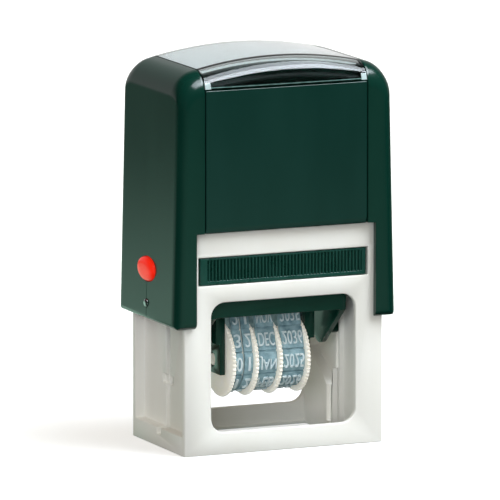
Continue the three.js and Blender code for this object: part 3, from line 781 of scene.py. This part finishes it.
# The cover's outline across X and Z: straight legs, rounded shoulders and a crowned top
def coverOutline(bottom, top, inset, corner):
    shape = coverShape
    radius = (shape["crownHalf"] ** 2 + shape["crownRise"] ** 2) / (2 * shape["crownRise"])
    centreX = coverHalfAt(top - shape["crownRise"] - corner, inset) - corner
    reach = radius - corner
    lean = math.asin(centreX / reach)
    centreZ = top - radius + reach * math.cos(lean)
    right = []
    for step in range(shape["crownSteps"]):
        turn = lean * step / shape["crownSteps"]
        right.append((radius * math.sin(turn), top - radius + radius * math.cos(turn)))
    for step in range(shape["shoulderSteps"] + 1):
        turn = lean + (math.pi / 2 - lean) * step / shape["shoulderSteps"]
        right.append((centreX + corner * math.sin(turn), centreZ + corner * math.cos(turn)))
    right.append((coverHalfAt(bottom, inset), bottom))
    return right + [(-x, z) for x, z in reversed(right[1:])]


# The cover's whole body, drawn in by one wall at its sides and another at its top
def coverBody(name, bottom, inset, topInset):
    shape = coverShape
    rings = []
    for side in (-1, 1):
        for step in range(shape["frontSteps"] + 1):
            count = step if side < 0 else shape["frontSteps"] - step
            turn = math.pi / 2 * count / shape["frontSteps"]
            front = shape["front"] - inset
            upright = shape["upright"] - inset
            back = front * (1 - math.cos(turn))
            drop = front * (1 - math.sin(turn))
            sideBack = max(0, upright - back)
            draw = upright - math.sqrt(max(0, upright ** 2 - sideBack ** 2))
            outline = coverOutline(
                bottom, coverTop - topInset - drop, inset + draw, shape["shoulder"] - inset - draw,
            )
            rings.append((side * (coverHigh.y - inset - back), outline))
    return loftAlongY(name, rings)


# What is left of a block once the cover's body, drawn in, is taken out of it
def overBody(name, low, high, inset, topInset):
    slab = block(name, low, high)
    cutWith(slab, coverBody("inside", coverLow.z - over, inset, topInset))
    return slab


def lockHoleTool(shape):
    tool = ovalRod("lockHole", *shape["lockHole"], -coverHigh.x - over, coverHigh.x + over)
    tool.location.z = shape["lockHeight"] * mm
    settle(tool)
    return tool


# A block whose lower edges are rounded, to round the feet of the legs
def footTool(shape):
    wide, deep = coverHigh.x + close, coverHigh.y + close
    tool = block("feet", (-wide, -deep, coverLow.z - close), (wide, deep, coverTop + over))
    pickEdges(tool, lambda a, b: max(a.z, b.z) < coverLow.z + over)
    bpy.ops.mesh.bevel(offset=shape["foot"] * mm, segments=shape["footSteps"])
    closeEdit()
    return tool


# Rounds a piece's sharp edges that lie below a height
def roundSharp(piece, width, top, sharpFrom=40):
    openEdit(piece, "EDGE")
    bpy.ops.mesh.select_all(action="DESELECT")
    bpy.ops.mesh.edges_select_sharp(sharpness=math.radians(sharpFrom))
    closeEdit()
    points = piece.data.vertices
    for edge in piece.data.edges:
        edge.select = edge.select and max(points[index].co.z for index in edge.vertices) < top * mm
    bpy.ops.object.mode_set(mode="EDIT")
    bpy.ops.mesh.bevel(offset=width * mm, segments=2)
    closeEdit()


def makeCover(shape):
    wide = coverHigh.y + over
    cover = coverBody("darkCover", coverLow.z, 0, 0)
    cutWith(cover, footTool(shape), "INTERSECT")
    cutWith(cover, coverBody("cavity", coverLow.z - over, shape["wall"], shape["ceiling"]))
    half = shape["cutoutHalf"]
    cutWith(cover, block("cutouts", (-half, -wide, coverLow.z - over), (half, wide, panelLow.z)))
    half = shape["panelHalf"]
    recess = overBody(
        "capRecess", (-half, -wide, shape["panelTop"]), (half, wide, coverTop + over),
        shape["capDeep"], shape["capTopDeep"],
    )
    cutWith(cover, recess)
    for side in (-1, 1):
        near, far = sorted((side * (coverHigh.y - shape["panelDeep"]), side * wide))
        cutWith(cover, block("rebate", (-half, near, panelLow.z - over), (half, far, shape["panelTop"])))
    reach = coverHigh.x + over
    cutWith(cover, rod("pinHole", shape["pinHole"], "x", -reach, reach, (0, shape["pinHeight"])))
    cutWith(cover, lockHoleTool(shape))
    mergeFlat(cover, shape["flat"])
    roundSharp(cover, shape["edge"], shape["edgeTop"])
    half = shape["groove"] / 2
    for side in (-1, 1):
        x = side * coverHalfAt(shape["pinHeight"], 0)
        near, far = sorted((x - side * shape["grooveDeep"], x + side * over))
        cutWith(cover, block("line", (near, -half, coverLow.z - over), (far, half, shape["lockHeight"])))
    smooth(cover)
    applyModifier(cover, "WEIGHTED_NORMAL", keep_sharp=True)
    ceiling = coverTop - shape["ceiling"]
    socket = rod("socket", shape["socket"], "z", ceiling - shape["socketDeep"], ceiling + over)
    hollow = rod(
        "hollow", shape["socket"] - shape["socketWall"], "z",
        ceiling - shape["socketDeep"] - over, ceiling - shape["socketFloor"],
    )
    cutWith(socket, hollow)
    smooth(socket)
    cover = joinPieces("darkCover", [cover, socket])
    dress(cover, "cover_shell", "cover")


makeCover(coverShape)
print("cover made")


# The panels let into the cover's front and back

panelShape = {"bevelHigh": 1.7, "bevelDeep": 0.6, "edge": 0.3, "edgeSteps": 3, "edgeFrom": 20}


def makePanel(node, name, side, shape):
    low, high = boxOf(node)
    panel = block(name, low, high)
    outer = high.y if side > 0 else low.y
    pickEdges(
        panel, lambda a, b: abs(a.y - outer) + abs(b.y - outer) + abs(a.z + b.z - 2 * low.z) < close,
    )
    bpy.ops.mesh.bevel(offset=shape["bevelDeep"] * mm, segments=1)
    closeEdit()
    for vertex in panel.data.vertices:
        _, y, z = vertex.co / mm
        if abs(y - outer) < close and z < low.z + shape["bevelHigh"]:
            vertex.co.z = (low.z + shape["bevelHigh"]) * mm
    roundEdges(panel, shape["edge"], shape["edgeSteps"], shape["edgeFrom"])
    smooth(panel, 30)
    applyModifier(panel, "WEIGHTED_NORMAL", keep_sharp=True)
    dress(panel, node, "panel")


makePanel("front_panel", "frontPanel", -1, panelShape)
makePanel("rear_panel", "rearPanel", 1, panelShape)
print("panels made")


# The clear cap over the top, and the plain card under it

capShape = {"wall": 1.2, "lip": (0.25, 0.5), "tab": (1.6, 1.7)}
cardShape = {"under": 1.35, "thick": 0.2, "half": 14.7, "fold": 13.2, "foldWide": 0.25, "flat": 0.05}


# The part of a piece that lies in some blocks, taken off as a piece of its own
def splitOff(piece, name, blocks):
    selectOnly(piece)
    bpy.ops.object.duplicate()
    taken = bpy.context.object
    taken.name = name
    tool = block("tool", *blocks[0])
    for low, high in blocks[1:]:
        cutWith(tool, block("tool", low, high), "UNION")
    selectOnly(tool)
    bpy.ops.object.duplicate()
    cutWith(taken, bpy.context.object, "INTERSECT")
    cutWith(piece, tool)
    return taken


def makeCap(shape):
    low, high = boxOf("index_window")
    cap = coverBody("clearCap", coverLow.z, 0, 0)
    cutWith(cap, coverBody("hollow", coverLow.z - over, shape["wall"], shape["wall"]))
    room = block("room", (low.x, low.y - over, low.z), (high.x, high.y + over, high.z + over))
    cutWith(cap, room, "INTERSECT")
    # The corner tabs and a strip along the lower edge are split off to take pale frosted finishes,
    # painted highlights
    wide, tall = shape["tab"]
    corners = []
    for side in (-1, 1):
        near, far = sorted((side * (high.x - wide), side * (high.x + over)))
        corners.append(((near, low.y - over, low.z - over), (far, high.y + over, low.z + tall)))
    tabs = splitOff(cap, "capTabs", corners)
    start, end = shape["lip"]
    strip = ((low.x - over, low.y - over, low.z + start), (high.x + over, high.y + over, low.z + end))
    lip = splitOff(cap, "capLip", [strip])
    for piece, finish in ((cap, "clear"), (tabs, "tab"), (lip, "lip")):
        smooth(piece)
        setFinish(piece, finish)
    dress(joinPieces("clearCap", [cap, tabs, lip]), "index_window")


# A folded sheet that follows the cover's top, with a score line near each edge
def makeCard(shape):
    low, high = boxOf("index_card")
    card = coverBody("indexCard", coverLow.z, shape["under"], shape["under"])
    lower = shape["under"] + shape["thick"]
    cutWith(card, coverBody("hollow", coverLow.z - over, lower, lower))
    half = shape["half"]
    room = block("room", (low.x, -half, coverLow.z), (high.x, half, high.z + over))
    cutWith(card, room, "INTERSECT")
    for side in (-1, 1):
        near, far = sorted((side * shape["fold"], side * (shape["fold"] + shape["foldWide"])))
        fold = block("fold", (low.x - over, near, coverLow.z), (high.x + over, far, high.z + over))
        cutWith(card, fold)
    mergeFlat(card, shape["flat"])
    smooth(card)
    dress(card, "index_card", "card")


makeCap(capShape)
makeCard(cardShape)
print("cap and card made")


# The lock buttons: an oval head with a soft rim and a slightly domed face, over a flange

buttonShape = {
    "head": (5.5, 3.25), "dome": 1.15, "domePower": 0.52, "flange": (6.4, 4.15), "flangeThick": 1,
    "flangeGap": 0.35, "flangeEdge": 0.2, "height": 48.9, "prong": 0.9, "prongAt": 2.3, "prongSunk": 0.1,
    "sides": 64,
}


def makeButton(node, name, side, shape):
    low, high = boxOf(node)
    face = high.x if side > 0 else -low.x
    tip = low.x if side > 0 else -high.x
    flangeFace = coverHalfAt(shape["height"], coverShape["wall"]) - shape["flangeGap"]
    flangeBack = flangeFace - shape["flangeThick"]
    rim = face - shape["dome"]
    head = ovalRod(name, *shape["head"], flangeBack, rim, shape["sides"])
    domeEnd(head, 1, (rim, 0, 0), shape["dome"], shape["domePower"])
    flange = ovalRod("flange", *shape["flange"], flangeBack, flangeFace, shape["sides"])
    half = shape["prong"]
    root = flangeFace - shape["prongSunk"]
    prongs = [
        block("prong", (tip, y - half, -half), (root, y + half, half))
        for y in (-shape["prongAt"], shape["prongAt"])
    ]
    smooth(head, 50)
    for part in (flange, *prongs):
        roundEdges(part, shape["flangeEdge"])
        smooth(part)
    button = joinPieces(name, [head, flange, *prongs])
    button.location.z = shape["height"] * mm
    button.scale.x = side
    settle(button)
    faceOutwards(button)
    dress(button, node, "button")


makeButton("lock_button_left", "lockButtonLeft", -1, buttonShape)
makeButton("lock_button_right", "lockButtonRight", 1, buttonShape)
print("buttons made")


# The ink pad's drawer: a ribbed front, and the tray behind it

trayShape = {
    "wall": 1.2, "frontWall": 3, "ribs": 46, "pitch": 0.982, "rib": 0.44, "ribDeep": 0.7,
    "ribShift": 0.5, "ribSunk": 0.1, "rim": 0.6, "lip": 1.1, "edge": 0.2, "edgeSteps": 3, "ribEdge": 0.13,
}


def makeTray(shape):
    low, high = boxOf("pad_tray")
    tray = block("padTray", low, high)
    half = shape["ribs"] * shape["pitch"] / 2
    shift = shape["ribShift"]
    bottom, top = low.z + shape["lip"], high.z - shape["rim"]
    floor = low.y + shape["ribDeep"]
    cutWith(tray, block("field", (shift - half, low.y - over, bottom), (shift + half, floor, top)))
    wall = shape["wall"]
    hollow = block(
        "hollow", (low.x + wall, low.y + shape["frontWall"], low.z - over),
        (high.x - wall, high.y - wall, high.z - wall),
    )
    cutWith(tray, hollow)
    roundEdges(tray, shape["edge"], shape["edgeSteps"])
    smooth(tray)
    wide, sunk = shape["rib"] / 2, shape["ribSunk"]
    rib = block("rib", (-wide, low.y, bottom - sunk), (wide, floor + sunk, top + sunk))
    pickEdges(rib, lambda a, b: max(a.y, b.y) < low.y + close and abs(a.x - b.x) < close)
    bpy.ops.mesh.bevel(offset=shape["ribEdge"] * mm, segments=shape["edgeSteps"])
    closeEdit()
    count = shape["ribs"]
    rib.location.x = (shift - (count - 1) / 2 * shape["pitch"]) * mm
    settle(rib)
    applyModifier(
        rib, "ARRAY", count=count, use_relative_offset=False, use_constant_offset=True,
        constant_offset_displace=(shape["pitch"] * mm, 0, 0),
    )
    smooth(rib)
    dress(joinPieces("padTray", [tray, rib]), "pad_tray", "tray")


makeTray(trayShape)
print("tray made")


# The dark die holder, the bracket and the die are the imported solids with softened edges

# for each: its piece's name, the edge's width and steps, its slot and its finish
softened = {
    "die_holder": ("dieHolder", 0.25, 3, "tray", "holder"),
    "band_bracket": ("bandBracket", 0.22, 2, "tray", "holder"),
    "text_plate": ("rubberDie", 0.14, 2, "rubber", "die"),
}


def makeSoftened():
    for node, (name, edge, steps, slot, finish) in softened.items():
        dress(softCopy(node, name, edge, steps), node, finish)


makeSoftened()
print("holder, bracket and die made")


# The foam sheet under the die, with soft edges

foamShape = {"edge": 0.42, "edgeSteps": 4, "fill": 0.5}


def makeFoam(shape):
    foam = cadCopy("plate_cushion", "foamCushion")
    applyModifier(foam, "BEVEL", width=shape["edge"] * mm, segments=shape["edgeSteps"])
    smooth(foam, 60)
    dress(foam, "plate_cushion", "foam")


makeFoam(foamShape)
print("foam made")


# The inked felt: a block with soft edges and a slightly crowned, worn face towards the die

feltShape = {"edge": 0.8, "edgeSteps": 4, "cuts": 14, "crown": 0.35, "fill": 0.8}


def makeFelt(shape):
    low, high = boxOf("ink_felt")
    crown = shape["crown"]
    felt = block("inkedFelt", (low.x, low.y, low.z + crown), high)
    openAll(felt, "EDGE")
    bpy.ops.mesh.bevel(offset=shape["edge"] * mm, segments=shape["edgeSteps"])
    closeEdit()
    pickFaces(felt, lambda centre, normal: abs(normal.z) > facing)
    bpy.ops.mesh.subdivide(number_cuts=shape["cuts"], quadcorner="INNERVERT")
    closeEdit()
    for vertex in felt.data.vertices:
        x, y, z = vertex.co / mm
        if z < low.z + crown + close:
            share = max(0, 1 - (x / high.x) ** 2) * max(0, 1 - (y / high.y) ** 2)
            vertex.co.z -= crown * math.sqrt(share) * mm
    smooth(felt, 60)
    dress(felt, "ink_felt", "felt")


makeFelt(feltShape)
print("felt made")


# The steel axle and the wheels' shaft, with rounded ends

axleShape = {"dome": 0.7, "power": 0.55}
shaftShape = {"dome": 0.3, "power": 0.3}


def makePin(node, name, finish, shape):
    low, high = boxOf(node)
    middle = (low + high) / 2
    dome = shape["dome"]
    pin = rod(name, (high.z - low.z) / 2, "x", low.x + dome, high.x - dome, (middle.y, middle.z))
    for side in (-1, 1):
        x = high.x - dome if side > 0 else low.x + dome
        domeEnd(pin, side, (x, middle.y, middle.z), dome, shape["power"])
    smooth(pin, 50)
    dress(pin, node, finish)


makePin("axle_pin", "axlePin", "pin", axleShape)
makePin("wheel_shaft", "wheelShaft", "wheel", shaftShape)
print("axle and shaft made")


# The main spring: one wire with closed ends

springShape = {"middle": 6, "curls": 6, "closed": 1, "shut": 0.252, "turnSteps": 40, "wireSides": 12}


def makeSpring(shape):
    low, high = boxOf("main_spring")
    wire = (high.x - low.x) / 2 - shape["middle"]
    radius = high.x - wire
    bottom = low.z + wire
    top = high.z - wire
    closed = shape["closed"]
    turns = shape["curls"] + 2 * closed
    run = top - bottom - 4 * wire * closed
    curve = bpy.data.curves.new("wire", "CURVE")
    curve.dimensions = "3D"
    curve.bevel_depth = wire * mm
    curve.bevel_resolution = shape["wireSides"] // 4
    curve.use_fill_caps = True
    line = curve.splines.new("POLY")
    count = turns * shape["turnSteps"]
    line.points.add(count)
    for step in range(count + 1):
        turn = step / shape["turnSteps"]
        inClosed = min(turn, closed) + max(0, turn - turns + closed)
        inRun = min(max(turn - closed, 0), shape["curls"])
        z = bottom + 2 * wire * inClosed + run * inRun / shape["curls"]
        angle = 2 * math.pi * turn
        line.points[step].co = (radius * math.cos(angle) * mm, radius * math.sin(angle) * mm, z * mm, 1)
    spring = bpy.data.objects.new("mainSpring", curve)
    bpy.context.collection.objects.link(spring)
    selectOnly(spring)
    bpy.ops.object.convert(target="MESH")
    spring = bpy.context.object
    smooth(spring, 50)
    dress(spring, "main_spring", "spring")
    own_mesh(spring)


makeSpring(springShape)
print("spring made")


# The date wheels: a hub with a bore, and a flange with a row of beads to turn it by

wheelShape = {
    "axisHeight": 22.8, "hub": 7.6, "bore": 1.9, "flange": 10.4, "flangeThick": 1.1, "beads": 56,
    "beadSteps": 8, "beadDeep": 0.5, "edge": 0.38, "edgeRound": 0.98, "rings": 8, "hubSides": 96,
    "boreSides": 48,
}
flangeSides = {"day_tens": -1, "day_units": 1, "month": 1, "year": 1}


def makeFlange(start, shape):
    count = shape["beads"] * shape["beadSteps"]
    rings = []
    for ring in range(shape["rings"] + 1):
        across = 2 * ring / shape["rings"] - 1
        drop = shape["edge"] * (1 - math.sqrt(1 - shape["edgeRound"] * across ** 2))
        outline = []
        for step in range(count):
            bead = abs(math.sin(math.pi * step / shape["beadSteps"]))
            radius = shape["flange"] - drop - shape["beadDeep"] * (1 - bead)
            turn = 2 * math.pi * step / count
            outline.append((radius * math.cos(turn), radius * math.sin(turn)))
        rings.append((start + shape["flangeThick"] * (across + 1) / 2, outline))
    flange = loftAlongY("flange", rings)
    flange.rotation_euler.z = -math.pi / 2
    settle(flange)
    return flange


def makeWheel(name, shape):
    low, high = (corner.x for corner in boxOf(name + "_wheel"))
    start = low if flangeSides[name] < 0 else high - shape["flangeThick"]
    wheel = makeFlange(start, shape)
    inset = shape["flangeThick"] / 2
    hub = (low + inset, high) if flangeSides[name] < 0 else (low, high - inset)
    cutWith(wheel, rod("hub", shape["hub"], "x", *hub, sides=shape["hubSides"]), "UNION")
    cutWith(wheel, rod("bore", shape["bore"], "x", low - over, high + over, sides=shape["boreSides"]))
    smooth(wheel, 50)
    wheel.location.z = shape["axisHeight"] * mm
    settle(wheel)
    wheel.name = name.replace("_", "") + "Wheel"
    dress(wheel, name + "_wheel", "wheel")


for unitName in flangeSides:
    makeWheel(unitName, wheelShape)
print("wheels made")


# The bands: a rubber loop with raised pads, and a character standing on each pad

bandShape = {
    "wheelRadius": 8.8, "noseRadius": 1.5, "noseHalf": 1.3, "noseHeight": 42.2, "axisHeight": 22.8,
    "thick": 0.9, "cells": 12, "gap": 0.5, "gapDeep": 0.5, "gapSlope": 0.04, "step": 0.35,
    "typeHigh": 3.7, "typeProud": 0.5, "typeSunk": 0.05, "typeStep": 0.5, "typeMargin": 0.35,
    "typeCurve": 4,
}
bandLabels = {
    "day_tens": list("012301230123"),
    "day_units": list("123456789012"),
    "month": "JAN FEB MAR APR MAY JUN JUL AUG SEP OCT NOV DEC".split(),
    "year": [str(2025 + step) for step in range(12)],
}


# The loop's runs in Y and Z: round the wheel, up to the nose, over its two corners and down again
def bandRuns(shape):
    wheel, nose = shape["wheelRadius"], shape["noseRadius"]
    half, rise = shape["noseHalf"], shape["noseHeight"] - shape["axisHeight"]
    lean = math.atan2(rise, half) - math.acos((wheel - nose) / math.hypot(half, rise))
    straight = math.sqrt(half ** 2 + rise ** 2 - (wheel - nose) ** 2)
    axis, top = shape["axisHeight"], shape["noseHeight"]
    return [
        ("arc", (0, axis), wheel, math.pi - lean, 2 * math.pi + lean, (math.pi + 2 * lean) * wheel),
        ("line", (0, axis), wheel, lean, lean, straight),
        ("arc", (half, top), nose, lean, math.pi / 2, (math.pi / 2 - lean) * nose),
        ("line", (half, top), nose, math.pi / 2, math.pi / 2, 2 * half),
        ("arc", (-half, top), nose, math.pi / 2, math.pi - lean, (math.pi / 2 - lean) * nose),
        ("line", (-half, top), nose, math.pi - lean, math.pi - lean, straight),
    ]


bandPath = bandRuns(bandShape)
bandLength = sum(run[-1] for run in bandPath)


# A place on the band: how far along the loop, and how far above its outer face
def onBand(along, above):
    along %= bandLength
    for kind, (y, z), radius, first, last, length in bandPath:
        if along <= length:
            break
        along -= length
    angle = first + (last - first) * along / length
    reach = radius + above
    y += reach * math.cos(angle)
    z += reach * math.sin(angle)
    if kind == "line":
        y -= along * math.sin(angle)
        z += along * math.cos(angle)
    return y, z


# How far the band's face lies under its pads
def padDrop(along, shape):
    pitch = bandLength / shape["cells"]
    place = along % pitch
    edge = min(place, pitch - place)
    return -shape["gapDeep"] if edge < shape["gap"] / 2 else 0


# The bare loop of a band, with a gap between its pads
def bandLoop(name, low, high, shape):
    pitch = bandLength / shape["cells"]
    stops = {round(step * shape["step"], 4) for step in range(int(bandLength / shape["step"]))}
    for cell in range(shape["cells"]):
        for side in (-1, 1):
            edge = cell * pitch + side * shape["gap"] / 2
            for slope in (-shape["gapSlope"], shape["gapSlope"]):
                stops.add(round((edge + slope) % bandLength, 4))
    stops = sorted(stops)
    outer = [onBand(stop, padDrop(stop, shape)) for stop in stops]
    inner = [onBand(stop, -shape["thick"]) for stop in stops]
    band = joinPieces(name, [loopOf([(low, y, z) for y, z in face]) for face in (outer, inner)])
    openAll(band, "EDGE")
    bpy.ops.mesh.bridge_edge_loops()
    bpy.ops.mesh.select_all(action="SELECT")
    bpy.ops.mesh.extrude_region_move(TRANSFORM_OT_translate={"value": ((high - low) * mm, 0, 0)})
    closeEdit()
    faceOutwards(band)
    smooth(band, 40)
    setFinish(band, "band")
    return band


# All of a band's characters, laid flat along the loop, cut across to bend, and wrapped round it
def bandType(labels, low, high, shape):
    pitch = bandLength / shape["cells"]
    wide = high - low - 2 * shape["typeMargin"]
    characters = []
    for cell, label in enumerate(labels):
        bpy.ops.object.select_all(action="DESELECT")
        bpy.ops.object.text_add()
        text = bpy.context.object
        text.data.body = label
        text.data.align_x = "CENTER"
        text.data.align_y = "CENTER"
        text.data.extrude = 0.1  # any depth: the characters are brought to size below
        text.data.resolution_u = shape["typeCurve"]
        bpy.ops.object.convert(target="MESH")
        text = bpy.context.object
        corners = [vertex.co for vertex in text.data.vertices]
        lowest = [min(corner[axis] for corner in corners) for axis in range(3)]
        highest = [max(corner[axis] for corner in corners) for axis in range(3)]
        size = [b - a for a, b in zip(lowest, highest)]
        tall = shape["typeHigh"]
        across = min(wide, size[0] / size[1] * tall)
        proud = shape["typeProud"] + shape["typeSunk"]
        for vertex in text.data.vertices:
            share = [(vertex.co[axis] - lowest[axis]) / size[axis] for axis in range(3)]
            vertex.co = (
                (share[0] - 0.5) * across,
                (cell + 0.5) * pitch + (share[1] - 0.5) * tall,
                share[2] * proud - shape["typeSunk"],
            )
        characters.append(text)
    strip = joinPieces("type", characters)
    openEdit(strip)
    for cut in range(1, int((bandLength + pitch) / shape["typeStep"])):
        bpy.ops.mesh.select_all(action="SELECT")
        bpy.ops.mesh.bisect(plane_co=(0, cut * shape["typeStep"], 0), plane_no=(0, 1, 0))
    bpy.ops.mesh.select_all(action="SELECT")
    bpy.ops.mesh.remove_doubles(threshold=close)
    closeEdit()
    middle = (low + high) / 2
    for vertex in strip.data.vertices:
        x, along, above = vertex.co
        y, z = onBand(along, above)
        vertex.co = ((x + middle) * mm, y * mm, z * mm)
    faceOutwards(strip)
    # The characters take the lighter rubber: a painted highlight on their raised faces
    setFinish(strip, "type")
    return strip


def makeBand(name, shape):
    low, high = (corner.x for corner in boxOf(name + "_band"))
    loop = bandLoop(name, low, high, shape)
    characters = bandType(bandLabels[name], low, high, shape)
    band = joinPieces(name.replace("_", "") + "Band", [loop, characters])
    dress(band, name + "_band")


for unitName in flangeSides:
    makeBand(unitName, bandShape)
print("bands made")
